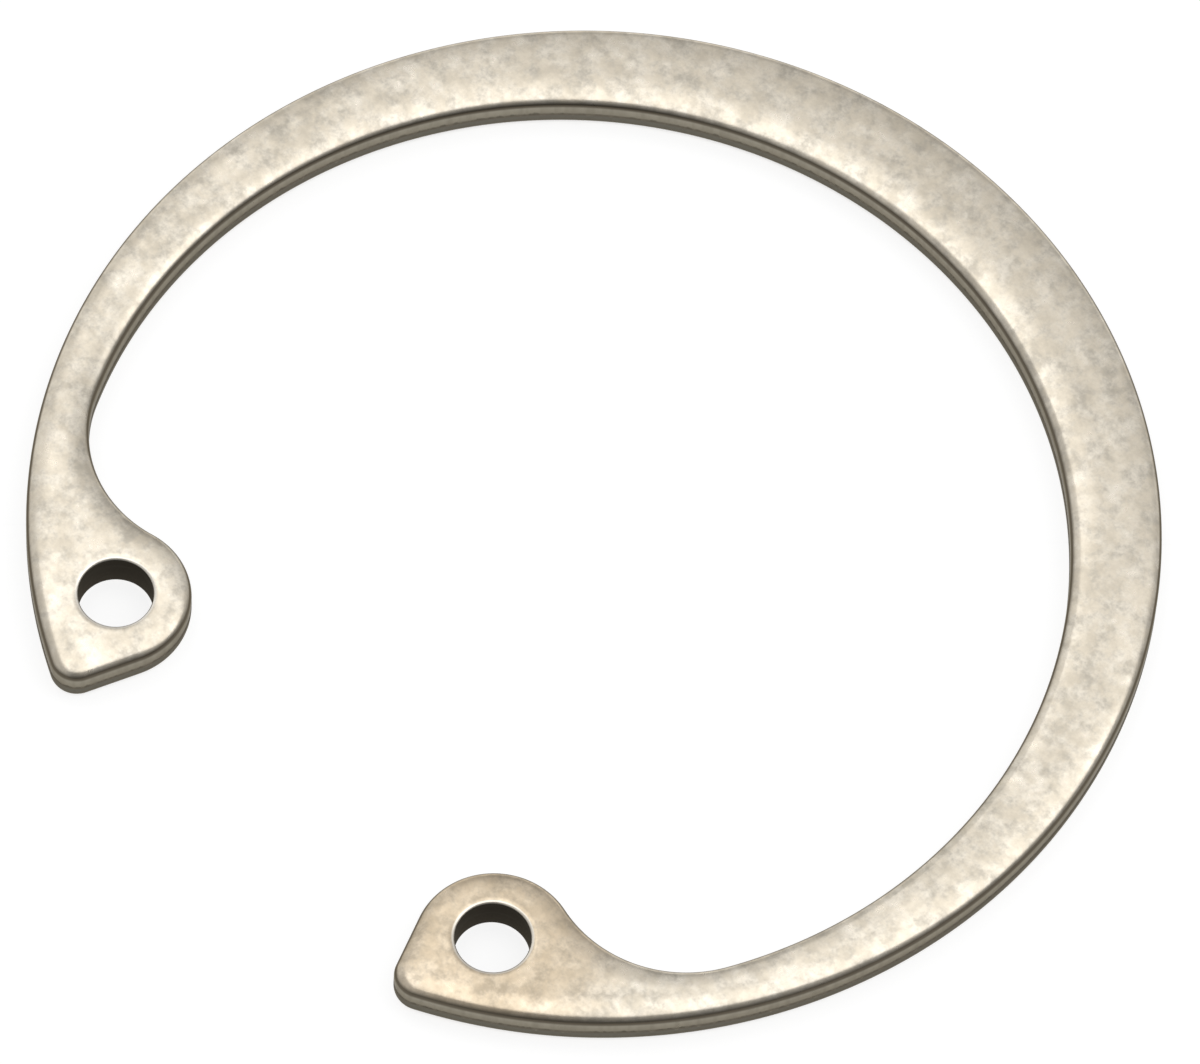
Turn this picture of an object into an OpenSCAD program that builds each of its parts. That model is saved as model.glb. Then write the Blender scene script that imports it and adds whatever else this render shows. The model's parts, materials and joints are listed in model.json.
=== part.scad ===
// Internal retaining ring: a flat spring stamped from strip steel, tumbled round on every edge.
// It is drawn free, lying flat, with the middle of its rim at the origin and its gap towards -Y.
// All lengths are in millimetres and all angles in degrees.

/* [Ring] */
// Outside diameter of the free ring, before it is sprung into its groove
outside_d = 37.8; // [34:0.1:44]
// Thickness of the strip
thickness = 1.5; // [1.2:0.05:2]
// Width of the section at the back, opposite the gap
back_w = 3.4; // [2.6:0.1:4.2]
// Width that the taper would come down to at the middle of the gap
tip_w = 1.1; // [0.6:0.05:1.6]

/* [Lugs] */
// Diameter of the two plier holes
hole_d = 2.5; // [2:0.1:2.8]
// Distance from the rim to the middle of a plier hole
hole_depth = 2.7; // [2.4:0.05:3.4]
// Angle between the two plier holes, seen from the middle of the ring
hole_angle = 66.4; // [48:0.2:84]
// Least metal left between a plier hole and the nose of its lug
lug_wall = 1.25; // [0.9:0.05:1.7]
// How far the middle of the nose stands out from its hole, towards the rim
nose_out = 0.15; // [0:0.05:0.4]
// How far it stands back from its hole, away from the gap
nose_back = 0.1; // [0:0.05:0.4]
// Lean of a lug's end face from the line between its hole and the middle of the ring
end_lean = 11; // [0:1:20]
// Radius at the outer corner of a lug
corner_r = 0.9; // [0.6:0.05:1.3]
// Radius of the hollow that blends a lug into the inner edge
hollow_r = 4.5; // [3:0.1:6.5]

/* [Edges] */
// Radius that tumbling has left along both faces of the outline
edge_r = 0.45; // [0.2:0.05:0.55]
// Radius at both rims of a plier hole
hole_edge_r = 0.12; // [0.05:0.01:0.25]
// Depth by which the rim is sized down to a true cylinder
rim_sizing = 0.015; // [0.01:0.005:0.04]

/* [Hidden] */

steel = [0.77, 0.73, 0.67];
round_fn = 180;

// Steps along the stretches of one half of the outline
main_steps = 36;
hollow_steps = 8;
nose_steps = 12;
corner_steps = 6;
side_steps = hollow_steps + nose_steps - corner_steps;
edge_steps = 4;

half_t = thickness / 2;
round_r = min(edge_r, half_t * 0.9, corner_r * 0.9);
hole_r = hole_d / 2;

// The rim is swept a little large and then sized down to a true cylinder
rim_r = outside_d / 2;
swept_r = rim_r + rim_sizing;

// The inner edge is a circle whose middle is shifted towards the gap, so that the section tapers
inner_r = rim_r - (back_w + tip_w) / 2;
inner_c = [0, -(back_w - tip_w) / 2];

// The right-hand lug: its hole, its nose, and the direction in which its end face looks
hole_heading = hole_angle / 2 - 90;
hole_at = (rim_r - hole_depth) * unit(hole_heading);
nose_c = hole_at + nose_out * unit(hole_heading) + nose_back * unit(hole_heading + 90);
nose_r = hole_r + lug_wall + norm(nose_c - hole_at);
end_heading = hole_heading - 90 - end_lean;
end_out = unit(end_heading);

// The outer corner touches the end face and the rim
corner_reach = nose_c * end_out + nose_r - corner_r;
corner_c = corner_reach * end_out
    + sqrt((swept_r - corner_r) ^ 2 - corner_reach ^ 2) * unit(end_heading + 90);

// The hollow touches the inner edge and the nose
hollow_c = meeting(inner_c, inner_r - hollow_r, nose_c, hollow_r + nose_r);
hollow_from = heading(hollow_c - inner_c);
hollow_to = heading(nose_c - hollow_c);
nose_from = heading(hollow_c - nose_c);

// Where the rim turns into the corner, and where it stands opposite the start of the hollow
rim_end = heading(corner_c);
rim_side = heading(inner_c + inner_r * unit(hollow_from));

// One half of the outline, as two chains of stations that run from the back to the end face
outer_chain = concat(
    arc([0, 0], swept_r, 90, rim_side, main_steps, 1),
    arc([0, 0], swept_r, rim_side, rim_end, side_steps, 1),
    arc(corner_c, corner_r, rim_end, clockwise(rim_end, end_heading), corner_steps, 1),
    [[corner_c + corner_r * end_out, end_out]]
);
inner_chain = concat(
    arc(inner_c, inner_r, 90, hollow_from, main_steps, -1),
    arc(hollow_c, hollow_r, hollow_from, clockwise(hollow_from, hollow_to), hollow_steps, -1),
    arc(nose_c, nose_r, nose_from, anticlockwise(nose_from, end_heading), nose_steps, 1),
    [[nose_c + nose_r * end_out, end_out]]
);

function unit(angle) = [cos(angle), sin(angle)];
function heading(v) = atan2(v[1], v[0]);
function clockwise(from, to) = to > from ? to - 360 : to;
function anticlockwise(from, to) = to < from ? to + 360 : to;

// Where a circle round a meets a circle round b, on the left of the way from a to b
function meeting(a, a_r, b, b_r) =
    let (
        way = b - a,
        ahead = way / norm(way),
        along = (a_r ^ 2 - b_r ^ 2 + norm(way) ^ 2) / (2 * norm(way)),
        aside = sqrt(a_r ^ 2 - along ^ 2)
    )
    a + along * ahead + aside * [-ahead[1], ahead[0]];

// Stations along an arc, without its last one: a point, and the way out of the metal there
function arc(c, r, from, to, steps, side) = [
    for (i = [0 : steps - 1])
    let (u = unit(from + (to - from) * i / steps))
    [c + r * u, side * u]
];

function flipped(stations) = [for (s = stations) [[-s[0][0], s[0][1]], [-s[1][0], s[1][1]]]];
function backwards(list) = [for (i = [len(list) - 1 : -1 : 0]) list[i]];
function without_first(list) = [for (i = [1 : len(list) - 1]) list[i]];
function without_last(list) = [for (i = [0 : len(list) - 2]) list[i]];

// The whole outline, clockwise from the back of the rim
function outline() = concat(
    outer_chain,
    backwards(inner_chain),
    without_first(flipped(inner_chain)),
    without_last(backwards(flipped(outer_chain)))
);

// The edge in section, from the lower face to the upper one: how far in from the outline, and how high
function edge_section() = let (quarter = [for (i = [0 : edge_steps]) unit(90 * i / edge_steps)])
    concat(
        [for (q = backwards(quarter)) [round_r * (1 - q[0]), -half_t + round_r * (1 - q[1])]],
        [for (q = quarter) [round_r * (1 - q[0]), half_t - round_r * (1 - q[1])]]
    );

// The edge section carried round the outline, closed by a ladder of faces between the two chains
module blank() {
    stations = outline();
    section = edge_section();
    count = len(stations);
    rungs = len(outer_chain) - 1;
    back = 2 * rungs + 1;
    last = (len(section) - 1) * count;
    points = [
        for (e = section)
        for (s = stations)
        let (at = s[0] - e[0] * s[1])
        [at[0], at[1], e[1]]
    ];
    sides = [
        for (j = [0 : len(section) - 2])
        for (k = [0 : count - 1])
        let (next = (k + 1) % count)
        [j * count + k, j * count + next, (j + 1) * count + next, (j + 1) * count + k]
    ];
    ladder = concat(
        [for (i = [0 : rungs - 1]) [i, i + 1, back - i - 1, back - i]],
        [for (i = [0 : rungs - 1]) [back + i, back + i + 1, count - i - 1, (count - i) % count]]
    );
    upper = [for (face = ladder) [for (k = face) last + k]];
    lower = [for (face = ladder) backwards(face)];
    polyhedron(points, concat(sides, upper, lower), convexity = 8);
}

// A plier hole with rounded rims, as the space that it takes out of the metal
module plier_hole() {
    lip = min(hole_edge_r, half_t * 0.9);
    rim = [
        for (i = [0 : edge_steps])
        let (q = unit(90 * i / edge_steps))
        [hole_r + lip * (1 - q[0]), half_t - lip * (1 - q[1])]
    ];
    flare = hole_r + lip;
    rotate_extrude($fn = round_fn) polygon(concat(
        [[0, -2 * thickness], [flare, -2 * thickness]],
        [for (p = backwards(rim)) [p[0], -p[1]]],
        rim,
        [[flare, 2 * thickness], [0, 2 * thickness]]
    ));
}

// A true disc of the rim's size, with both plier holes through it
module punched_disc() {
    difference() {
        cylinder(r = rim_r, h = 2 * thickness, center = true, $fn = round_fn);
        for (side = [-1, 1]) translate([side * hole_at[0], hole_at[1], 0]) plier_hole();
    }
}

module ring() {
    color(steel) intersection() {
        blank();
        punched_disc();
    }
}

ring();
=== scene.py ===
"""Looks of the internal retaining ring: a flat spring, stamped from strip steel and tumbled satin.

The ring lies flat with its gap towards -Y. Lengths are in metres and angles in radians, as in the CAD frame.
"""

import json
import math

import bpy
from bpy.props import FloatProperty, FloatVectorProperty, PointerProperty
from mathutils import Matrix, Vector


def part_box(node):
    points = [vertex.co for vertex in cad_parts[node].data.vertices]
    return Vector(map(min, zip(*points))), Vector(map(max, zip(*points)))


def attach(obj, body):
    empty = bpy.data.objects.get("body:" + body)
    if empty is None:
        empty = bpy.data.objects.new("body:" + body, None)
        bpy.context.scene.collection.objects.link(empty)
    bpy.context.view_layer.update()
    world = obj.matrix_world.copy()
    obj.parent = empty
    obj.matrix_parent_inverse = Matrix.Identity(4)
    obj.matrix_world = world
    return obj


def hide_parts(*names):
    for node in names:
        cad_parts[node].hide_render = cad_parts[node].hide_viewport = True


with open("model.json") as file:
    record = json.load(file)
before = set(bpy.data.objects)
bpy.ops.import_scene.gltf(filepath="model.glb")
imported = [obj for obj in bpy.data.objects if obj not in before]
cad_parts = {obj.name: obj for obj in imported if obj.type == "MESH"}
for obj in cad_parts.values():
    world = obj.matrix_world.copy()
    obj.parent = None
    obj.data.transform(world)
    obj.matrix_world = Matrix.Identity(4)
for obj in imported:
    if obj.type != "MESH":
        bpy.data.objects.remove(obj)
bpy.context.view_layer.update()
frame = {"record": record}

bl_info = {
    "name": "Retaining ring",
    "version": (1, 0, 0),
    "blender": (4, 5, 0),
    "location": "3D View > Sidebar > Ring",
    "description": "Models an internal retaining ring, its satin steel and a plain studio",
    "category": "Add Mesh",
}

MM = 0.001
FULL_TURN = 2 * math.pi
QUARTER_TURN = math.pi / 2
WHITE = (1.0, 1.0, 1.0, 1.0)

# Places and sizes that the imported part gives
MOUNTS = {mount["name"]: mount for mount in frame["record"]["mounts"]}
RING_LOW, RING_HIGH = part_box("ring")
HOLE_PLACE = Vector(MOUNTS["plier_hole_right"]["pos_m"])
RIM_RADIUS = MOUNTS["groove_seat"]["dims"]["r_mm"] * MM
HOLE_RADIUS = MOUNTS["plier_hole_right"]["dims"]["r_mm"] * MM

# Points along the stretches of half the outline, round an edge in section and round a plier hole
STRETCH_POINTS = {"inner": 130, "hollow": 40, "nose": 44, "end": 14, "corner": 24, "rim": 180}
EDGE_POINTS = 14
LIP_POINTS = 10
HOLE_POINTS = 96

# A point's order along the outline counts stretches, and half the outline takes this many
HALF_ORDER = float(len(STRETCH_POINTS))

# Orders over which the face's broad roll gives way to the lug's own, and over which it comes back on the rim
ROLL_NARROWS = (1.2, 1.75)
ROLL_BROADENS = (5.08, 5.25)

# Share of the metal across the outline that one roll may take, and how often its width is evened out
ROOM_SHARE = 0.45
ROLL_EVENING = 12

# Points closer together than this are one, and orders this close to the outline's end are its start again
WELD = 0.0005 * MM
ORDER_SLACK = 0.0001

# Where a ray across the metal starts off the outline, and how far it may run
RAY_START = 10 * WELD
RAY_LENGTH = 1.0

# Share of the rounding's depth that still counts as wall, and the count of faces below which an edge is open
WALL_SHARE = 0.02
CLOSED_FACES = 1.5

# Values that stay inside the geometry tree
WORKING_VALUES = ("order", "depth", "roll", "rail")

# Upright share of the surface's direction where the painted shade of a shoulder, or a wall's browner tone
# with painted shade in it, is still full, and where it ends
SHOULDER_SHADE_ENDS = (0.54, 0.82)
WALL_ENDS = (0.18, 0.42)

# Distances off a hole's wall over which the painted shade in the hole and the painted highlight on its lip
# end
HOLE_SHADE_ENDS = (0.0, 0.03 * MM)
LIP_HIGHLIGHT_ENDS = (0.08 * MM, 0.13 * MM)

# Detail of each noise, and how strong its finer patches are
CLOUD_NOISE = (2.0, 0.6)
MOTTLE_NOISE = (3.0, 0.72)
TINT_NOISE = (3.0, 0.7)
MARK_NOISE = (2.0, 0.5)
WAVE_NOISE = (1.0, 0.5)

# Values of a noise between which its patches come in
SHADE_RANGE = (0.33, 0.67)
TINT_RANGE = (0.35, 0.65)
STREAK_RANGE = (0.35, 0.75)
BAND_RANGE = (0.45, 0.7)

# Strength of the clouds in the shade, of each patch and of the lips' painted highlight in its tone, and of
# the shade in the roughness
CLOUD_SHARE = 0.36
MOTTLE_SHARE = 0.64
TINT_SHARE = 0.6
LIP_HIGHLIGHT_SHARE = 0.7
STREAK_SHARE = 0.25
BAND_SHARE = 0.25
ROUGHNESS_SHARE = 0.2

# Share of its reach where the straw tint and its painted shade are full, and heights between which the land
# gives way to the tear
STRAW_AND_SHADE_FULL = 1 / 3
TEAR_RANGE = (-0.08 * MM, 0.08 * MM)

# Squeeze of the marks along each axis: upright ones on the edges and level ones in the holes
UPRIGHT_MARKS = (1.0, 1.0, 0.12)
LEVEL_MARKS = (0.1, 0.1, 1.0)

# Open sky over the floor between which its own light comes in, and the rays that look for it
SHELTER_RANGE = (0.03, 0.35)
SHELTER_SAMPLES = 8

# How far a direction points beyond the ring, up, left and right while the room gets lighter that way
FAR_RANGE = (0.0, 0.7)
HIGH_RANGE = (0.1, 0.8)
LEFT_RANGE = (0.1, 0.5)
RIGHT_RANGE = (0.2, 0.9)

# Share of the far light that is there low down, and the share that comes in with height
LOW_SHARE = 0.6
HIGH_SHARE = 0.4

# The photograph's width in pixels, the camera's sensor in its own millimetres, and what the camera can see
PHOTO_WIDTH = 1200
SENSOR_WIDTH = 36.0
NEAREST, FARTHEST = 0.01, 10.0

# Half the floor's breadth
FLOOR_HALF = 2.0


def length(name, description, default):
    """A size in metres that the sidebar shows as a length."""
    return FloatProperty(
        name=name,
        description=description,
        default=default,
        min=0.0,
        precision=5,
        unit="LENGTH",
        subtype="DISTANCE",
    )


def angle(name, description, degrees):
    """An angle that the sidebar shows in degrees."""
    return FloatProperty(name=name, description=description, default=math.radians(degrees), subtype="ANGLE")


def factor(name, description, default):
    """A share between nothing and all."""
    return FloatProperty(
        name=name, description=description, default=default, min=0.0, max=1.0, subtype="FACTOR"
    )


def level(name, description, default):
    """A light's brightness, where 1 shows white as white."""
    return FloatProperty(name=name, description=description, default=default, min=0.0)


def pixels(name, description, default):
    """A distance in the photograph's pixels."""
    return FloatProperty(name=name, description=description, default=default, subtype="PIXEL")


def colour(name, description, default):
    """A linear colour."""
    return FloatVectorProperty(
        name=name, description=description, default=default, min=0.0, max=1.0, size=3, subtype="COLOR"
    )


def sides(name, description, left, right, near, far):
    """The four sides of a softbox, as distances from the ring's middle that grow rightwards and away."""
    return FloatVectorProperty(
        name=name, description=description, default=(left, right, near, far), size=4, unit="LENGTH"
    )


class RingSizes(bpy.types.PropertyGroup):
    """Sizes of the ring's outline and of the section of its edges."""

    rim_radius: length("Rim radius", "Radius of the free ring's outside", RIM_RADIUS)
    thickness: length("Thickness", "Thickness of the strip", RING_HIGH.z - RING_LOW.z)
    back_width: length("Back width", "Width of the strip opposite the gap", 3.4 * MM)
    tip_width: length("Tip width", "Width that the strip would taper to at the gap", 1.1 * MM)
    hole_radius: length("Hole radius", "Radius of each plier hole", HOLE_RADIUS)
    hole_depth: length("Hole depth", "From the rim to the middle of a hole", RIM_RADIUS - HOLE_PLACE.length)
    hole_angle: angle(
        "Hole angle",
        "Angle between the two plier holes, seen from the middle of the rim",
        math.degrees(2 * math.atan2(HOLE_PLACE.x, -HOLE_PLACE.y)),
    )
    lug_wall: length("Lug wall", "Least metal between a plier hole and the nose of its lug", 1.25 * MM)
    nose_out: length("Nose out", "How far the nose's middle stands out from the hole, to the rim", 0.15 * MM)
    nose_back: length("Nose back", "How far it stands back from the hole, away from the gap", 0.1 * MM)
    end_lean: angle("End lean", "Lean of a lug's straight end off the ray through its hole", 11)
    corner_radius: length("Corner radius", "Rounding between a lug's end and the rim", 0.9 * MM)
    hollow_radius: length("Hollow radius", "Sweep from a lug into the inner edge", 4.5 * MM)
    edge_radius: length("Edge radius", "Tumbled rounding of the outline's edges", 0.42 * MM)
    roll_width: length("Lug roll width", "Strip beside the rounding where a lug's face rolls down", 0.42 * MM)
    roll_most: length("Widest roll", "The same strip where the ring is broad", 0.8 * MM)
    roll_slope: angle("Roll slope", "Slope that the face reaches where the rounding starts", 7.5)
    lip_radius: length("Lip radius", "Rounding of the plier holes' rims", 0.1 * MM)
    lip_roll_width: length("Lip roll width", "Strip beside a hole's rim where the face rolls down", 0.13 * MM)
    lip_roll_slope: angle("Lip roll slope", "Slope that the face reaches at a hole's rim", 16)
    face_margin: length("Face margin", "Flat strip kept beside each roll", 0.03 * MM)
    land_share: factor("Land share", "Height of the smooth sheared land in the edge", 0.5)
    land_step: length("Land step", "Depth of the torn part of the edge below its land", 0.006 * MM)
    land_groove: length("Land groove", "Depth of the fine line at the foot of the land", 0.009 * MM)


class RingFinish(bpy.types.PropertyGroup):
    """Colours and textures of the satin steel."""

    face_colour: colour("Face", "Warm grey of the tumbled faces", (0.95, 0.88, 0.758))
    cloud_colour: colour("Clouds", "Darker clouds and mottling on the faces", (0.53, 0.485, 0.407))
    tint_colour: colour("Tints", "Browner patches on the faces", (0.8, 0.713, 0.572))
    # Straw: a straw tint with painted shade that darkens the right-hand lug
    straw_colour: colour("Straw", "Straw tint that deepens the right-hand lug", (0.9, 0.825, 0.73))
    # Hole lips: a painted highlight on the rims of the plier holes
    lip_colour: colour("Hole lips", "Burnished rims of the plier holes", (0.97, 0.93, 0.85))
    # Shoulders: painted shade, a dark band standing in for the dim room that the turn from face to edge
    # reflects
    shoulder_colour: colour("Shoulders", "Dark skin on the turn from face to edge", (0.115, 0.098, 0.073))
    # Walls: the browner sheared steel, darkened with painted shade for the shadowed floor it reflects
    wall_colour: colour("Walls", "Browner steel of the sheared edges", (0.285, 0.262, 0.212))
    # Torn edge: the torn half's duller steel, with painted shade darkening the lower half of the edges
    torn_colour: colour("Torn edge", "Dull steel of the torn half of the edges", (0.135, 0.126, 0.104))
    # Holes: painted shade inside the plier holes, also the colour of the dark shearing streaks on the edges
    hole_colour: colour("Holes", "Dark skin left inside the plier holes", (0.1, 0.088, 0.07))
    grazing_colour: colour("Grazing", "Tint of the steel seen along its surface", (0.6, 0.57, 0.52))
    cloud_size: length("Cloud size", "Size of the soft clouds on the faces", 1.4 * MM)
    mottle_size: length("Mottle size", "Size of the mottling in the clouds", 0.48 * MM)
    tint_size: length("Tint size", "Size of the browner patches", 0.8 * MM)
    # Reach of the straw tint and its painted shade
    straw_reach: length("Straw reach", "Distance from the hole at which the straw tint ends", 5.5 * MM)
    mottle_depth: length("Mottle depth", "Depth of the mottling's pits", 0.003 * MM)
    wave_size: length("Wave size", "Size of the faces' slight unevenness", 6.0 * MM)
    wave_depth: length("Wave depth", "Depth of that unevenness", 0.06 * MM)
    dome_reach: length("Dome reach", "Breadth over which a lug's face is gently domed", 8.0 * MM)
    dome_shift: length("Dome shift", "How far outside its hole that dome has its top", 2.7 * MM)
    dome_twist: length("Dome twist", "How far the ring's twist moves it, opposite ways on the lugs", 0.9 * MM)
    dome_height: length("Dome height", "Height of that dome, as the light shows it", 0.22 * MM)
    streak_size: length("Streak size", "Breadth of the shearing marks on the edges", 0.22 * MM)
    tear_depth: length("Tear depth", "How far the land's foot wanders up and down", 0.5 * MM)
    face_roughness: factor("Face roughness", "Roughness of the faces", 0.3)
    wall_roughness: factor("Wall roughness", "Roughness of the sheared edges", 0.3)
    hole_roughness: factor("Hole roughness", "Roughness inside the plier holes", 0.9)


class StageSettings(bpy.types.PropertyGroup):
    """Floor, lights and camera."""

    floor_colour: colour("Floor", "Colour of the plain floor", (0.28, 0.28, 0.279))
    shelter: length("Shelter", "Distance within which the ring dims the floor's own light", 0.35 * MM)
    floor_glow: level("Floor glow", "Light that the floor adds of its own, to show as white", 0.815)
    overhead_level: level("Overhead", "Brightness of the broad softbox overhead", 1.22)
    overhead_height: length("Overhead height", "Height of the broad softbox over the ring", 400 * MM)
    overhead_sides: sides(
        "Overhead sides", "Sides of the broad softbox", -170 * MM, 800 * MM, -230 * MM, 191 * MM
    )
    side_level: level("Side", "Brightness of the narrow softbox on the left", 1.65)
    side_height: length("Side height", "Height of the narrow softbox over the ring", 365 * MM)
    side_sides: sides("Side sides", "Sides of the narrow softbox", -102 * MM, -28 * MM, 204 * MM, 268 * MM)
    far_level: level("Far", "Brightness of the room beyond the ring", 0.6)
    left_level: level("Left", "Brightness that the room adds on the left", 0.32)
    right_level: level("Right", "Brightness that the room adds on the right", 0.15)
    shade_level: level("Shade", "Brightness of the dim room on the camera's side", 0.2)
    azimuth: angle("Azimuth", "Direction that the camera looks from, round the ring", 41.548)
    elevation: angle("Elevation", "Height of the camera above the floor", 61.183)
    roll: angle("Roll", "Turn of the camera about its own axis", 4.018)
    distance: length("Distance", "From the camera to the middle of the ring", 417.5 * MM)
    photo_scale: pixels("Photo scale", "Photo pixels to a metre at the ring", 30039.0)
    middle_right: pixels("Middle right", "Photo pixels from the frame's middle to the ring's", -5.65)
    middle_up: pixels("Middle up", "Photo pixels from the frame's middle up to the ring's", 8.3)


class Wire:
    """One output of a node tree. Arithmetic on it adds Math nodes to that tree."""

    def __init__(self, graph, socket):
        self.graph = graph
        self.socket = socket

    def out(self, name):
        """Another output of the same node."""
        return Wire(self.graph, self.socket.node.outputs[name])

    def math(self, operation, *values):
        return self.graph.add("ShaderNodeMath", {"operation": operation}, *values)

    def __add__(self, other):
        return self.math("ADD", self, other)

    __radd__ = __add__

    def __sub__(self, other):
        return self.math("SUBTRACT", self, other)

    def __rsub__(self, other):
        return self.math("SUBTRACT", other, self)

    def __mul__(self, other):
        return self.math("MULTIPLY", self, other)

    __rmul__ = __mul__

    def __truediv__(self, other):
        return self.math("DIVIDE", self, other)

    def __mod__(self, whole):
        return self.math("FLOORED_MODULO", self, whole)

    def __neg__(self):
        return 0.0 - self

    def __abs__(self):
        return self.math("ABSOLUTE", self)

    def __gt__(self, other):
        return self.math("GREATER_THAN", self, other)

    def at_least(self, low):
        return self.math("MAXIMUM", self, low)

    def at_most(self, high):
        return self.math("MINIMUM", self, high)

    def sign(self):
        return self.math("SIGN", self)

    def root(self):
        return self.math("SQRT", self)

    def cosine(self):
        return self.math("COSINE", self)

    def sine(self):
        return self.math("SINE", self)

    def turned_from(self, across):
        """The heading of the point whose height is this value and whose breadth is across."""
        return self.math("ARCTAN2", self, across)

    def ramp(self, start, end):
        """Rises smoothly from 0 at start to 1 at end."""
        settings = {"interpolation_type": "SMOOTHSTEP"}
        return self.graph.add("ShaderNodeMapRange", settings, self, start, end, 0.0, 1.0)


class Point:
    """A place in the plan of a geometry tree, as two values."""

    def __init__(self, x, y):
        self.x = x
        self.y = y

    def __add__(self, other):
        return Point(self.x + other.x, self.y + other.y)

    def __sub__(self, other):
        return Point(self.x - other.x, self.y - other.y)

    def times(self, size):
        return Point(self.x * size, self.y * size)

    def dot(self, other):
        return self.x * other.x + self.y * other.y

    def heading(self):
        return self.y.turned_from(self.x)

    def wire(self, graph):
        return graph.add("ShaderNodeCombineXYZ", None, self.x, self.y, 0.0)


class Graph:
    """A node tree that its one method fills."""

    def __init__(self, tree):
        self.tree = tree

    def add(self, kind, settings=None, *values, **named):
        """Adds a node: its settings first, then its inputs in order or by name, with _ for a space."""
        node = self.tree.nodes.new(kind)
        for setting, value in (settings or {}).items():
            setattr(node, setting, value)
        shown = [socket for socket in node.inputs if socket.enabled]
        fed = list(zip(shown, values))
        for name, value in named.items():
            fed.append((next(socket for socket in shown if socket.name == name.replace("_", " ")), value))
        for socket, value in fed:
            for each in value if isinstance(value, list) else [value]:
                if isinstance(each, Wire):
                    self.tree.links.new(each.socket, socket)
                else:
                    socket.default_value = each
        outputs = [socket for socket in node.outputs if socket.enabled]
        return Wire(self, outputs[0]) if outputs else None


def unit(heading):
    """The point one unit away in that direction."""
    return Point(heading.cosine(), heading.sine())


def circles_meet(centre_a, radius_a, centre_b, radius_b):
    """Where two circles cross, on the left of the way from the first centre to the second."""
    apart = centre_b - centre_a
    apart_squared = apart.dot(apart)
    along = (radius_a * radius_a - radius_b * radius_b + apart_squared) / (2.0 * apart_squared)
    aside = (radius_a * radius_a / apart_squared - along * along).root()
    return centre_a + apart.times(along) + Point(-apart.y, apart.x).times(aside)


def arc(graph, centre, radius, start, sweep, points):
    """A round stretch of an outline or a section. A negative sweep runs clockwise."""
    curve = graph.add(
        "GeometryNodeCurveArc",
        {"mode": "RADIUS"},
        Resolution=points,
        Radius=radius,
        Start_Angle=start,
        Sweep_Angle=sweep,
    )
    return graph.add("GeometryNodeTransform", None, Geometry=curve, Translation=centre.wire(graph))


def line(graph, start, end):
    """A straight stretch of an outline or a section."""
    return graph.add(
        "GeometryNodeCurvePrimitiveLine", {"mode": "POINTS"}, Start=start.wire(graph), End=end.wire(graph)
    )


def stored(graph, geometry, kind, name, value):
    """The geometry with a named value on its points."""
    return graph.add(
        "GeometryNodeStoreNamedAttribute",
        {"data_type": kind, "domain": "POINT"},
        Geometry=geometry,
        Name=name,
        Value=value,
    )


def recalled(graph, kind, name):
    """A named value of the points."""
    return graph.add("GeometryNodeInputNamedAttribute", {"data_type": kind}, Name=name)


def half_outline(graph, size):
    """The right half's stretches, from the inner edge at the back round the lug to the rim, and its hole."""
    hole_heading = size["Hole angle"] * 0.5 - QUARTER_TURN
    outward = unit(hole_heading)
    hole = outward.times(size["Rim radius"] - size["Hole depth"])
    nose_shift = outward.times(size["Nose out"]) + unit(hole_heading + QUARTER_TURN).times(size["Nose back"])
    nose = hole + nose_shift
    nose_radius = size["Hole radius"] + size["Lug wall"] + nose_shift.dot(nose_shift).root()

    # The inner edge is a circle shifted towards the gap, so that the strip tapers
    inner_radius = size["Rim radius"] - (size["Back width"] + size["Tip width"]) * 0.5
    inner = Point(0.0, (size["Tip width"] - size["Back width"]) * 0.5)

    # The outer corner touches the lug's straight end and the rim
    end_heading = hole_heading - QUARTER_TURN - size["End lean"]
    end_out = unit(end_heading)
    corner_reach = nose.dot(end_out) + nose_radius - size["Corner radius"]
    corner_circle = size["Rim radius"] - size["Corner radius"]
    corner_aside = (corner_circle * corner_circle - corner_reach * corner_reach).root()
    corner = end_out.times(corner_reach) + unit(end_heading + QUARTER_TURN).times(corner_aside)
    rim_start = corner.heading()

    # The hollow touches the inner edge and the nose
    hollow_radius = size["Hollow radius"]
    hollow = circles_meet(inner, inner_radius - hollow_radius, nose, hollow_radius + nose_radius)
    hollow_start = (hollow - inner).heading()
    hollow_turn = (hollow_start - (nose - hollow).heading()) % FULL_TURN
    nose_start = (hollow - nose).heading()

    middle = Point(0.0, 0.0)
    end = line(graph, nose + end_out.times(nose_radius), corner + end_out.times(size["Corner radius"]))
    count = STRETCH_POINTS
    stretches = [
        arc(graph, inner, inner_radius, QUARTER_TURN, hollow_start - QUARTER_TURN, count["inner"]),
        arc(graph, hollow, hollow_radius, hollow_start, -hollow_turn, count["hollow"]),
        arc(graph, nose, nose_radius, nose_start, (end_heading - nose_start) % FULL_TURN, count["nose"]),
        graph.add("GeometryNodeResampleCurve", {"mode": "COUNT"}, Curve=end, Count=count["end"]),
        arc(
            graph,
            corner,
            size["Corner radius"],
            end_heading,
            (rim_start - end_heading) % FULL_TURN,
            count["corner"],
        ),
        arc(graph, middle, size["Rim radius"], rim_start, QUARTER_TURN - rim_start, count["rim"]),
    ]
    return stretches, hole


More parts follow.
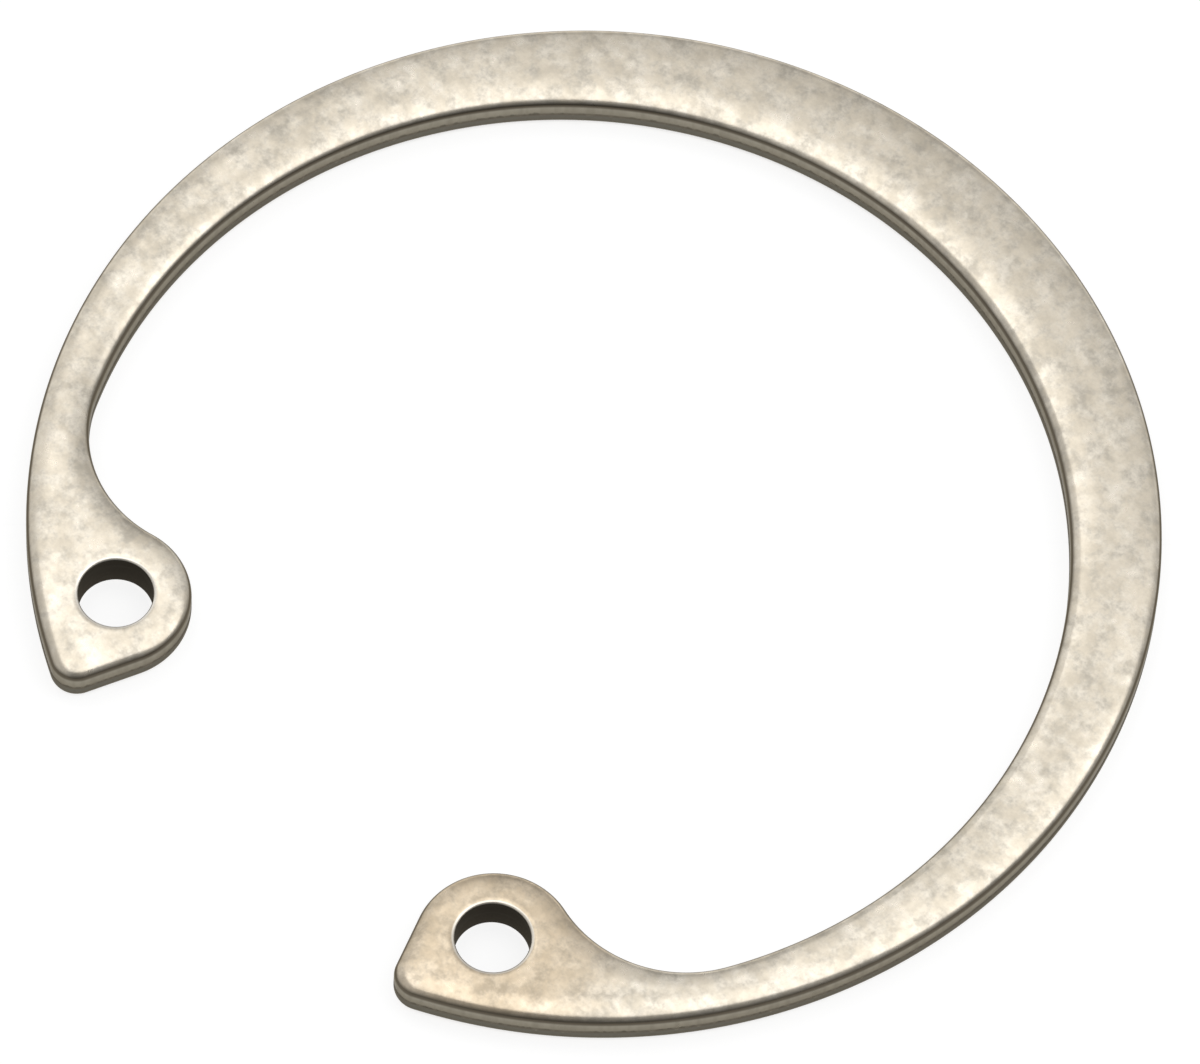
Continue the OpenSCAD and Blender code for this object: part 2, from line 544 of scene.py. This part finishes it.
def closed_outline(graph, stretches):
    """Both halves' stretches as one closed curve, with the metal on its left."""
    along = graph.add("GeometryNodeSplineParameter")
    ordered = []
    for place, stretch in enumerate(stretches):
        named = stored(graph, stretch, "FLOAT", "order", along + float(place))
        ordered.append(graph.add("GeometryNodeCurveToPoints", {"mode": "EVALUATED"}, Curve=named))
    right = graph.add("GeometryNodeJoinGeometry", None, Geometry=ordered)
    order = recalled(graph, "FLOAT", "order")
    mirrored = graph.add("GeometryNodeTransform", None, Geometry=right, Scale=(-1.0, 1.0, 1.0))
    left = stored(graph, mirrored, "FLOAT", "order", 2 * HALF_ORDER - order)
    closing = order > 2 * HALF_ORDER - ORDER_SLACK
    left = graph.add("GeometryNodeDeleteGeometry", {"domain": "POINT"}, Geometry=left, Selection=closing)
    points = graph.add("GeometryNodeJoinGeometry", None, Geometry=[right, left])
    points = graph.add("GeometryNodeMergeByDistance", None, Geometry=points, Distance=WELD)
    curve = graph.add("GeometryNodePointsToCurves", None, Points=points, Weight=order)
    return graph.add("GeometryNodeSetSplineCyclic", None, Geometry=curve, Cyclic=True)


def edge_section(graph, half, rounding, roll_width, roll_slope, margin, wall, points):
    """An edge's section from below: margin, roll and rounding at both ends, and the wall between.

    wall is a function that gives the wall's points from the height where its straight part ends.
    """
    roll_radius = rounding + roll_width / roll_slope.sine()
    inset = -(rounding + roll_width)
    turned = roll_slope.cosine()
    flat = half - roll_radius * (1.0 - turned) - rounding * turned
    steep = QUARTER_TURN - roll_slope
    stops = [Point(0.0, -flat), *wall(flat), Point(0.0, flat)]
    stretches = [
        line(graph, Point(inset - margin, -half), Point(inset, -half)),
        arc(graph, Point(inset, roll_radius - half), roll_radius, -QUARTER_TURN, roll_slope, points // 2),
        arc(graph, Point(-rounding, -flat), rounding, -steep, steep, points),
        *[line(graph, low, high) for low, high in zip(stops, stops[1:])],
        arc(graph, Point(-rounding, flat), rounding, 0.0, steep, points),
        arc(graph, Point(inset, half - roll_radius), roll_radius, steep, roll_slope, points // 2),
        line(graph, Point(inset, half), Point(inset - margin, half)),
    ]
    section = graph.add("GeometryNodeJoinGeometry", None, Geometry=stretches)
    outward = graph.add("ShaderNodeSeparateXYZ", None, graph.add("GeometryNodeInputPosition"))
    return stored(graph, section, "FLOAT", "depth", -outward)


def swept(graph, rail, section):
    """The section carried along the rail, upright."""
    upright = graph.add("GeometryNodeSetCurveNormal", {"mode": "Z_UP"}, Curve=rail)
    return graph.add("GeometryNodeCurveToMesh", None, Curve=upright, Profile_Curve=section)


def with_room(graph, outline, holes, size, half):
    """The outline with its place and the width of the face's roll on its points.

    The roll is broad where the metal across the outline leaves room for it.
    """
    upright = line(graph, Point(0.0, -half), Point(0.0, half))
    fences = [swept(graph, rail, upright) for rail in (outline, *holes)]
    fences = graph.add("GeometryNodeJoinGeometry", None, Geometry=fences)
    place = graph.add("GeometryNodeInputPosition")
    ahead = graph.add("ShaderNodeSeparateXYZ", None, graph.add("GeometryNodeInputTangent"))
    inward = graph.add("ShaderNodeCombineXYZ", None, -ahead.out("Y"), ahead, 0.0)
    step = graph.add("ShaderNodeVectorMath", {"operation": "SCALE"}, inward, Scale=RAY_START)
    start = graph.add("ShaderNodeVectorMath", {"operation": "ADD"}, place, step)
    hit = graph.add(
        "GeometryNodeRaycast",
        None,
        Target_Geometry=fences,
        Source_Position=start,
        Ray_Direction=inward,
        Ray_Length=RAY_LENGTH,
    )
    room = hit.out("Hit Distance") * ROOM_SHARE - size["Edge radius"] - 2.0 * size["Face margin"]
    room = room.at_least(size["Face margin"]).at_most(size["Widest roll"])
    order = HALF_ORDER - abs(recalled(graph, "FLOAT", "order") - HALF_ORDER)
    broad = 1.0 - order.ramp(*ROLL_NARROWS) + order.ramp(*ROLL_BROADENS)
    width = size["Lug roll width"] + broad * (room - size["Lug roll width"])
    even = graph.add(
        "GeometryNodeBlurAttribute", {"data_type": "FLOAT"}, Value=width, Iterations=ROLL_EVENING
    )
    outline = stored(graph, outline, "FLOAT", "roll", even)
    return stored(graph, outline, "FLOAT_VECTOR", "rail", place)


def broadened(graph, strip, size, half):
    """The outline's strip with its roll as wide as its points have room for, and as deep to match."""
    depth = recalled(graph, "FLOAT", "depth")
    rail = recalled(graph, "FLOAT_VECTOR", "rail")
    growth = recalled(graph, "FLOAT", "roll") / size["Lug roll width"]
    slope = size["Roll slope"]
    rounded = size["Edge radius"] * (1.0 - slope.sine())

    # Points of the roll move away from the outline, and the margin moves with the last of them
    rolled = depth.at_most(size["Edge radius"] + size["Lug roll width"]) - rounded
    wider = rolled.at_least(0.0) * (growth - 1.0)
    stretch = (depth + wider) / depth.at_least(WELD)
    place = graph.add("GeometryNodeInputPosition")
    from_rail = graph.add("ShaderNodeVectorMath", {"operation": "SUBTRACT"}, place, rail)
    moved = graph.add("ShaderNodeVectorMath", {"operation": "SCALE"}, from_rail, Scale=stretch)
    moved = graph.add("ShaderNodeSeparateXYZ", None, graph.add("ShaderNodeVectorMath", None, rail, moved))

    # The roll's foot sinks as it widens, so that its slope stays, and the rounding sinks along with it
    height = graph.add("ShaderNodeSeparateXYZ", None, place).out("Z")
    drop = (size["Edge radius"] + size["Lug roll width"] / slope.sine()) * (1.0 - slope.cosine())
    rounding_height = size["Edge radius"] * slope.cosine()
    risen = ((abs(height) - half + drop) / rounding_height + 1.0).at_least(0.0).at_most(1.0)
    sunk = ((half - abs(height)) / drop).at_most(1.0)
    sinking = drop * (growth - 1.0) * risen * sunk
    level_height = height - height.sign() * sinking
    target = graph.add("ShaderNodeCombineXYZ", None, moved, moved.out("Y"), level_height)
    beside_wall = depth > rounded * WALL_SHARE
    return graph.add("GeometryNodeSetPosition", None, Geometry=strip, Selection=beside_wall, Position=target)


def faces_between(graph, strips, half):
    """The flat upper and lower faces, filled between the strips' open edges."""
    neighbours = graph.add("GeometryNodeInputMeshEdgeNeighbors")
    height = graph.add("ShaderNodeSeparateXYZ", None, graph.add("GeometryNodeInputPosition")).out("Z")
    open_above = (CLOSED_FACES - neighbours > 0.0) * (height > 0.0)
    loops = graph.add("GeometryNodeMeshToCurve", None, Mesh=strips, Selection=open_above)
    filled = graph.add("GeometryNodeFillCurve", {"mode": "TRIANGLES"}, Curve=loops)
    up = graph.add("ShaderNodeCombineXYZ", None, 0.0, 0.0, half)
    down = graph.add("ShaderNodeCombineXYZ", None, 0.0, 0.0, -half)
    upper = graph.add("GeometryNodeTransform", None, Geometry=filled, Translation=up)
    lower = graph.add("GeometryNodeTransform", None, Geometry=filled, Translation=down)
    return upper, graph.add("GeometryNodeFlipFaces", None, Mesh=lower)


def geometry_tree(name, group, material):
    """A geometry tree whose inputs are a property group's values and a material."""
    tree = bpy.data.node_groups.new(name, "GeometryNodeTree")
    sockets = {}
    for key, prop in group.bl_rna.properties.items():
        if prop.type == "FLOAT" and not prop.is_array:
            sockets[key] = tree.interface.new_socket(prop.name, in_out="INPUT", socket_type="NodeSocketFloat")
            sockets[key].subtype = "ANGLE" if prop.subtype == "ANGLE" else "NONE"
    material_socket = tree.interface.new_socket("Material", in_out="INPUT", socket_type="NodeSocketMaterial")
    tree.interface.new_socket("Ring", in_out="OUTPUT", socket_type="NodeSocketGeometry")
    values = {socket.identifier: getattr(group, key) for key, socket in sockets.items()}
    values[material_socket.identifier] = material
    return tree, values


def ring_tree(sizes, material):
    """The ring as a rule: an outline of arcs that touch, edges swept round it and faces filled between."""
    tree, values = geometry_tree("Retaining ring", sizes, material)
    graph = Graph(tree)
    inputs = graph.add("NodeGroupInput")
    size = {item.name: inputs.out(item.name) for item in tree.interface.items_tree if item.in_out == "INPUT"}
    half = size["Thickness"] * 0.5
    margin = size["Face margin"]
    groove = size["Land groove"]
    stretches, hole = half_outline(graph, size)

    def sheared_wall(flat):
        foot = flat - 2.0 * flat * size["Land share"]
        return [Point(-size["Land step"], foot - groove), Point(-groove, foot), Point(0.0, foot + groove)]

    def punched_wall(flat):
        return []

    edge = edge_section(
        graph,
        half,
        size["Edge radius"],
        size["Lug roll width"],
        size["Roll slope"],
        margin,
        sheared_wall,
        EDGE_POINTS,
    )
    lip = edge_section(
        graph,
        half,
        size["Lip radius"],
        size["Lip roll width"],
        size["Lip roll slope"],
        margin,
        punched_wall,
        LIP_POINTS,
    )
    circle = graph.add(
        "GeometryNodeCurvePrimitiveCircle",
        {"mode": "RADIUS"},
        Resolution=HOLE_POINTS,
        Radius=size["Hole radius"],
    )
    inward = graph.add("GeometryNodeReverseCurve", None, Curve=circle)
    holes = []
    for side in (1.0, -1.0):
        place = graph.add("ShaderNodeCombineXYZ", None, hole.x * side, hole.y, 0.0)
        holes.append(graph.add("GeometryNodeTransform", None, Geometry=inward, Translation=place))
    rail = with_room(graph, closed_outline(graph, stretches), holes, size, half)
    outline = broadened(graph, swept(graph, rail, edge), size, half)
    punched = [swept(graph, rim, lip) for rim in holes]
    strips = graph.add("GeometryNodeJoinGeometry", None, Geometry=[outline, *punched])
    strips = graph.add("GeometryNodeMergeByDistance", None, Geometry=strips, Distance=WELD)
    faces = faces_between(graph, strips, half)
    whole = graph.add("GeometryNodeJoinGeometry", None, Geometry=[strips, *faces])
    whole = graph.add("GeometryNodeMergeByDistance", None, Geometry=whole, Distance=WELD)
    whole = graph.add("GeometryNodeSetShadeSmooth", {"domain": "FACE"}, whole, True, True)
    whole = graph.add("GeometryNodeRealizeInstances", None, Geometry=whole)
    whole = graph.add("GeometryNodeSetMaterial", None, Geometry=whole, Material=size["Material"])
    graph.add("NodeGroupOutput", None, whole)
    return tree, values


def mesh_from_tree(name, tree, values):
    """A plain mesh object at the origin, made by the tree with those input values."""
    piece = bpy.data.objects.new(name, bpy.data.meshes.new(name))
    bpy.context.scene.collection.objects.link(piece)
    modifier = piece.modifiers.new("Shape", "NODES")
    modifier.node_group = tree
    for identifier, value in values.items():
        modifier[identifier] = value
    evaluated = piece.evaluated_get(bpy.context.evaluated_depsgraph_get())
    mesh = bpy.data.meshes.new_from_object(evaluated)
    if not mesh.polygons:
        raise RuntimeError(f"the tree of {name} made no faces")
    piece.modifiers.remove(modifier)
    piece.data = mesh
    mesh.name = name
    for value in WORKING_VALUES:
        if value in mesh.attributes:
            mesh.attributes.remove(mesh.attributes[value])
    return piece


def new_material(name):
    """An empty node material and its graph."""
    material = bpy.data.materials.new(name)
    material.use_nodes = True
    material.node_tree.nodes.clear()
    return material, Graph(material.node_tree)


def opaque(rgb):
    """A colour with full alpha."""
    return (*rgb, 1.0)


def mixed(graph, share, first, second, blend="MIX"):
    """The first colour with that share of the second mixed in, or multiplied in."""
    return graph.add("ShaderNodeMix", {"data_type": "RGBA", "blend_type": blend}, share, first, second)


def noise(graph, place, size, detail, roughness):
    """Cloudy noise whose patches are about that size, with its finer patches as strong as the roughness."""
    return graph.add(
        "ShaderNodeTexNoise", None, Vector=place, Scale=1.0 / size, Detail=detail, Roughness=roughness
    )


def drawn_out(graph, place, squeeze):
    """The place squeezed along each axis, so that a pattern on it is drawn out there."""
    return graph.add("ShaderNodeVectorMath", {"operation": "MULTIPLY"}, place, squeeze)


def from_hole(spot, sizes, shift=0.0, twist=0.0):
    """How far a place lies from the middle of the plier hole on its side, or from a point beside that."""
    reach = sizes.rim_radius - sizes.hole_depth
    off_x = abs(spot.out("X")) - (reach * math.sin(sizes.hole_angle / 2) + shift)
    off_y = spot.out("Y") + reach * math.cos(sizes.hole_angle / 2) + spot.out("X").sign() * twist
    return (off_x * off_x + off_y * off_y).root()


def spring_steel(finish, sizes):
    """Tumbled satin steel: mottled warm faces with a straw tint and painted shade on the right-hand lug,
    brown sheared edges darkened with painted shade, painted shade on the shoulders and in the holes, and a
    painted highlight on the hole rims.
    """
    material, graph = new_material("spring_steel")
    coordinates = graph.add("ShaderNodeTexCoord")
    place = coordinates.out("Object")
    spot = graph.add("ShaderNodeSeparateXYZ", None, place)
    upright = abs(graph.add("ShaderNodeSeparateXYZ", None, coordinates.out("Normal")).out("Z"))
    # Painted shade on the shoulders between face and edge
    shoulder_shade = 1.0 - upright.ramp(*SHOULDER_SHADE_ENDS)
    wall = 1.0 - upright.ramp(*WALL_ENDS)
    off_middle = from_hole(spot, sizes)
    off_rim = off_middle - sizes.hole_radius
    # Painted shade on the walls of the plier holes
    hole = 1.0 - off_rim.ramp(*HOLE_SHADE_ENDS)
    # Painted highlight on the rims of the plier holes
    lip = 1.0 - off_rim.ramp(*LIP_HIGHLIGHT_ENDS)

    # Faces: soft clouds with finer mottling in them, browner patches, a straw tint with painted shade on the
    # right-hand lug, and a painted highlight on the hole rims
    clouds = noise(graph, place, finish.cloud_size, *CLOUD_NOISE)
    mottle = noise(graph, place, finish.mottle_size, *MOTTLE_NOISE)
    tints = noise(graph, place, finish.tint_size, *TINT_NOISE)
    shade = clouds * CLOUD_SHARE + mottle * MOTTLE_SHARE
    cloudy = shade.ramp(*SHADE_RANGE)
    face_tone = mixed(graph, cloudy, opaque(finish.face_colour), opaque(finish.cloud_colour))
    tinted = tints.ramp(*TINT_RANGE) * TINT_SHARE
    face_tone = mixed(graph, tinted, face_tone, opaque(finish.tint_colour))
    # Straw tint and painted shade darken the right-hand lug
    near_hole = 1.0 - off_middle.ramp(finish.straw_reach * STRAW_AND_SHADE_FULL, finish.straw_reach)
    straw_and_shade = near_hole * (spot.out("X") > 0.0)
    face_tone = mixed(graph, straw_and_shade, face_tone, opaque(finish.straw_colour), "MULTIPLY")
    face_tone = mixed(graph, lip * LIP_HIGHLIGHT_SHARE, face_tone, opaque(finish.lip_colour))

    # Edges: painted shade on the shoulder at each face, a smooth land above and a torn half below, both
    # browner and darkened with painted shade, the lower half darker still, and upright shearing marks
    streaks = noise(graph, drawn_out(graph, place, UPRIGHT_MARKS), finish.streak_size, *MARK_NOISE)
    # The lower half of each edge is darker: torn steel and painted shade
    torn_and_shaded = 1.0 - (spot.out("Z") + (streaks - 0.5) * finish.tear_depth).ramp(*TEAR_RANGE)
    wall_tone = mixed(graph, torn_and_shaded, opaque(finish.wall_colour), opaque(finish.torn_colour))
    streaky = streaks.ramp(*STREAK_RANGE) * STREAK_SHARE
    wall_tone = mixed(graph, streaky, wall_tone, opaque(finish.hole_colour))

    # Holes: painted shade on the walls, with level bands that the punch left
    bands = noise(graph, drawn_out(graph, place, LEVEL_MARKS), finish.streak_size, *MARK_NOISE)
    banded = bands.ramp(*BAND_RANGE) * BAND_SHARE
    hole_shade_tone = mixed(graph, banded, opaque(finish.hole_colour), opaque(finish.torn_colour))

    # Painted shade on the shoulders, kept off the painted highlight of the hole rims, then the walls, then
    # the painted shade in the holes
    tone = mixed(graph, shoulder_shade * (1.0 - lip), face_tone, opaque(finish.shoulder_colour))
    tone = mixed(graph, wall, tone, wall_tone)
    tone = mixed(graph, hole, tone, hole_shade_tone)
    rough = finish.face_roughness + (shade - 0.5) * ROUGHNESS_SHARE
    rough = rough + wall * (finish.wall_roughness - finish.face_roughness)
    rough = rough + hole * (finish.hole_roughness - rough)

    # Relief: fine pits, slight waves and a gentle dome on each lug
    waves = noise(graph, place, finish.wave_size, *WAVE_NOISE)
    from_top = from_hole(spot, sizes, finish.dome_shift, finish.dome_twist)
    dome = 1.0 - from_top.ramp(0.0, finish.dome_reach)
    relief = mottle * finish.mottle_depth + waves * finish.wave_depth + dome * finish.dome_height
    bump = graph.add("ShaderNodeBump", None, Strength=1.0, Distance=1.0, Height=relief)
    shader = graph.add(
        "ShaderNodeBsdfPrincipled",
        None,
        Base_Color=tone,
        Metallic=1.0,
        Roughness=rough,
        Normal=bump,
        Specular_Tint=opaque(finish.grazing_colour),
    )
    graph.add("ShaderNodeOutputMaterial", None, shader)
    return material


def plain_floor(stage):
    """A matt floor that shows as white to the camera and in the steel, and keeps the ring's shadow."""
    material, graph = new_material("plain_floor")
    matt = graph.add("ShaderNodeBsdfDiffuse", None, opaque(stage.floor_colour))
    glow = graph.add("ShaderNodeEmission", None, WHITE, stage.floor_glow)
    glowing = graph.add("ShaderNodeAddShader", None, matt, glow)
    path = graph.add("ShaderNodeLightPath")
    seen = path.out("Is Camera Ray") + path.out("Is Glossy Ray") + path.out("Is Transmission Ray")
    sky = graph.add("ShaderNodeAmbientOcclusion", {"samples": SHELTER_SAMPLES}, Distance=stage.shelter)
    lit = seen.at_most(1.0) * sky.out("AO").ramp(*SHELTER_RANGE)
    surface = graph.add("ShaderNodeMixShader", None, lit, matt, glowing)
    graph.add("ShaderNodeOutputMaterial", None, surface)
    return material


class RETAINING_RING_OT_ring(bpy.types.Operator):
    """Model the ring from its sizes and give it its satin steel"""

    bl_idname = "retaining_ring.ring"
    bl_label = "Ring"

    def execute(self, context):
        sizes = context.scene.ring_sizes
        steel = spring_steel(context.scene.ring_finish, sizes)
        tree, values = ring_tree(sizes, steel)
        ring = mesh_from_tree("retaining_ring", tree, values)
        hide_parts("ring")
        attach(ring, "root")
        return {"FINISHED"}


def make_floor(stage):
    """A wide flat floor under the ring."""
    low = RING_LOW.z
    corners = [(x * FLOOR_HALF, y * FLOOR_HALF, low) for x, y in ((-1, -1), (1, -1), (1, 1), (-1, 1))]
    mesh = bpy.data.meshes.new("floor")
    mesh.from_pydata(corners, [], [(0, 1, 2, 3)])
    mesh.materials.append(plain_floor(stage))
    floor = bpy.data.objects.new("floor", mesh)
    bpy.context.scene.collection.objects.link(floor)


def level_axes(stage):
    """The directions on the floor to the camera's right and away from it."""
    right = Vector((math.cos(stage.azimuth), math.sin(stage.azimuth), 0.0))
    return right, Vector((-right.y, right.x, 0.0))


def camera_axes(stage):
    """The camera's right, up and backward directions."""
    level_right, away = level_axes(stage)
    backward = Vector((0.0, 0.0, math.sin(stage.elevation))) - away * math.cos(stage.elevation)
    turn = Matrix.Rotation(stage.roll, 3, backward)
    return turn @ level_right, turn @ backward.cross(level_right), backward


def make_camera(stage):
    """The camera at the photograph's angle, aimed so that the ring sits where the photograph has it."""
    right, up, backward = camera_axes(stage)
    aim = -(right * stage.middle_right + up * stage.middle_up) / stage.photo_scale
    data = bpy.data.cameras.new("camera")
    data.sensor_width = SENSOR_WIDTH
    data.lens = SENSOR_WIDTH * stage.photo_scale * stage.distance / PHOTO_WIDTH
    data.clip_start = NEAREST
    data.clip_end = FARTHEST
    camera = bpy.data.objects.new("camera", data)
    turned = Matrix((right, up, backward)).transposed().to_4x4()
    camera.matrix_world = Matrix.Translation(aim + backward * stage.distance) @ turned
    bpy.context.scene.collection.objects.link(camera)
    bpy.context.scene.camera = camera


def make_softbox(stage, name, height, box_sides, brightness):
    """A softbox hung level over the ring, with its sides given as the camera sees them."""
    left, right, near, far = box_sides
    across, away = level_axes(stage)
    data = bpy.data.lights.new(name, "AREA")
    data.shape = "RECTANGLE"
    data.size = right - left
    data.size_y = far - near
    data.energy = brightness * math.pi * data.size * data.size_y
    softbox = bpy.data.objects.new(name, data)
    softbox.location = across * (left + right) / 2 + away * (near + far) / 2 + Vector((0.0, 0.0, height))
    softbox.rotation_euler.z = stage.azimuth
    softbox.visible_camera = False
    bpy.context.scene.collection.objects.link(softbox)


def make_world(stage):
    """A room that is pale beyond the ring, lighter at both sides, and dim on the camera's side."""
    world = bpy.data.worlds.new("studio")
    world.use_nodes = True
    world.node_tree.nodes.clear()
    graph = Graph(world.node_tree)
    direction = graph.add("ShaderNodeTexCoord").out("Generated")
    across, away = level_axes(stage)

    def towards(axis):
        dot = {"operation": "DOT_PRODUCT"}
        return graph.add("ShaderNodeVectorMath", dot, direction, tuple(axis)).out("Value")

    high = towards((0.0, 0.0, 1.0)).ramp(*HIGH_RANGE)
    wall = towards(away).ramp(*FAR_RANGE) * (LOW_SHARE + HIGH_SHARE * high)
    brightness = stage.shade_level + wall * (stage.far_level - stage.shade_level)
    brightness = brightness + towards(-across).ramp(*LEFT_RANGE) * stage.left_level
    brightness = brightness + towards(across).ramp(*RIGHT_RANGE) * stage.right_level
    background = graph.add("ShaderNodeBackground", None, WHITE, brightness)
    graph.add("ShaderNodeOutputWorld", None, background)
    bpy.context.scene.world = world


class RETAINING_RING_OT_stage(bpy.types.Operator):
    """Lay the floor, hang the soft lights and place the camera"""

    bl_idname = "retaining_ring.stage"
    bl_label = "Stage"

    def execute(self, context):
        stage = context.scene.ring_stage
        context.scene.view_settings.view_transform = "Standard"
        make_floor(stage)
        make_world(stage)
        make_softbox(stage, "overhead", stage.overhead_height, stage.overhead_sides, stage.overhead_level)
        make_softbox(stage, "side", stage.side_height, stage.side_sides, stage.side_level)
        make_camera(stage)
        return {"FINISHED"}


class RETAINING_RING_PT_sidebar(bpy.types.Panel):
    """The ring's sizes, finish and stage"""

    bl_idname = "RETAINING_RING_PT_sidebar"
    bl_label = "Retaining ring"
    bl_space_type = "VIEW_3D"
    bl_region_type = "UI"
    bl_category = "Ring"

    def draw(self, context):
        for operator, group in (
            (RETAINING_RING_OT_ring, context.scene.ring_sizes),
            (None, context.scene.ring_finish),
            (RETAINING_RING_OT_stage, context.scene.ring_stage),
        ):
            box = self.layout.box()
            for key in group.bl_rna.properties.keys():
                if key not in ("rna_type", "name"):
                    box.prop(group, key)
            if operator:
                box.operator(operator.bl_idname)


CLASSES = (
    RingSizes,
    RingFinish,
    StageSettings,
    RETAINING_RING_OT_ring,
    RETAINING_RING_OT_stage,
    RETAINING_RING_PT_sidebar,
)
GROUPS = {"ring_sizes": RingSizes, "ring_finish": RingFinish, "ring_stage": StageSettings}


def register():
    for each in CLASSES:
        bpy.utils.register_class(each)
    for name, group in GROUPS.items():
        setattr(bpy.types.Scene, name, PointerProperty(type=group))


def unregister():
    for name in GROUPS:
        delattr(bpy.types.Scene, name)
    for each in reversed(CLASSES):
        bpy.utils.unregister_class(each)


def main():
    register()
    bpy.ops.retaining_ring.ring()
    bpy.ops.retaining_ring.stage()


if __name__ == "__main__":
    main()
